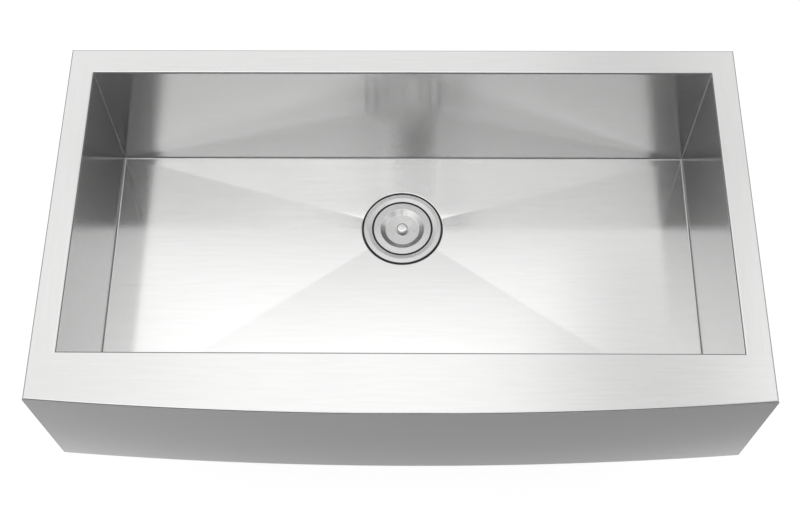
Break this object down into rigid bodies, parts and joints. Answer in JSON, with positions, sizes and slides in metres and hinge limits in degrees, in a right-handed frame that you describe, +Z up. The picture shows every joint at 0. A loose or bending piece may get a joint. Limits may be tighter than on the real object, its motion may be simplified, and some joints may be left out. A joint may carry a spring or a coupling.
{
  "type": "farmhouse kitchen sink",
  "caption": "Single-bowl steel kitchen sink with square corners, a bowed apron front and a basket strainer whose lid and basket lift out.",
  "frame": {"origin": "the middle of the back rim's top face", "axes": "+X to the right along the apron, +Y from the apron to the back, +Z up out of the bowl"},
  "size_m": [0.911, 0.5309, 0.4062],
  "materials": {
    "brushed_sheet": "satin, fine straight brushing",
    "plain_sheet": "mill finish",
    "damping_rubber": "matt",
    "black_rubber": "matt",
    "turned_steel": "fine turned brushing",
    "basket_steel": "satin",
    "polished_steel": "polished",
    "fibre_ring": "pressed fibre board",
    "cast_nut": "plated casting",
    "white_washer": "moulded",
    "tube_steel": "bright tube"
  },
  "bodies": {
    "sink": {"bowl_floor": "brushed_sheet", "wall_back": "brushed_sheet", "wall_front": "brushed_sheet", "wall_left": "brushed_sheet", "wall_right": "brushed_sheet", "rim_back": "brushed_sheet", "rim_left": "brushed_sheet", "rim_right": "brushed_sheet", "front_deck": "brushed_sheet", "apron_face": "brushed_sheet", "apron_cheek_left": "brushed_sheet", "apron_cheek_right": "brushed_sheet", "apron_lip": "brushed_sheet", "apron_stay_left": "plain_sheet", "apron_stay_right": "plain_sheet", "back_pad": "damping_rubber", "front_pad": "damping_rubber", "left_pad": "damping_rubber", "right_pad": "damping_rubber", "floor_pad_left": "damping_rubber", "floor_pad_right": "damping_rubber", "floor_pad_front": "damping_rubber", "flange_gasket": "black_rubber", "strainer_body": "turned_steel", "outlet_spud": "cast_nut", "under_gasket": "black_rubber", "friction_ring": "fibre_ring", "locknut": "cast_nut", "tailpiece_washer": "white_washer", "tailpiece": "tube_steel", "coupling_nut": "cast_nut"},
    "basket": {"basket_cup": "basket_steel", "basket_handle": "basket_steel"},
    "lid": {"lid_disc": "turned_steel", "lid_seal": "black_rubber", "lid_knob": "polished_steel", "lid_screw": "polished_steel"}
  },
  "joints": [
    {"name": "basket_lift", "type": "slide", "parent": "sink", "child": "basket", "axis": [0, 0, 1], "range_m": [0, 0.29]},
    {"name": "lid_lift", "type": "slide", "parent": "basket", "child": "lid", "axis": [0, 0, 1], "range_m": [0, 0.26]}
  ]
}
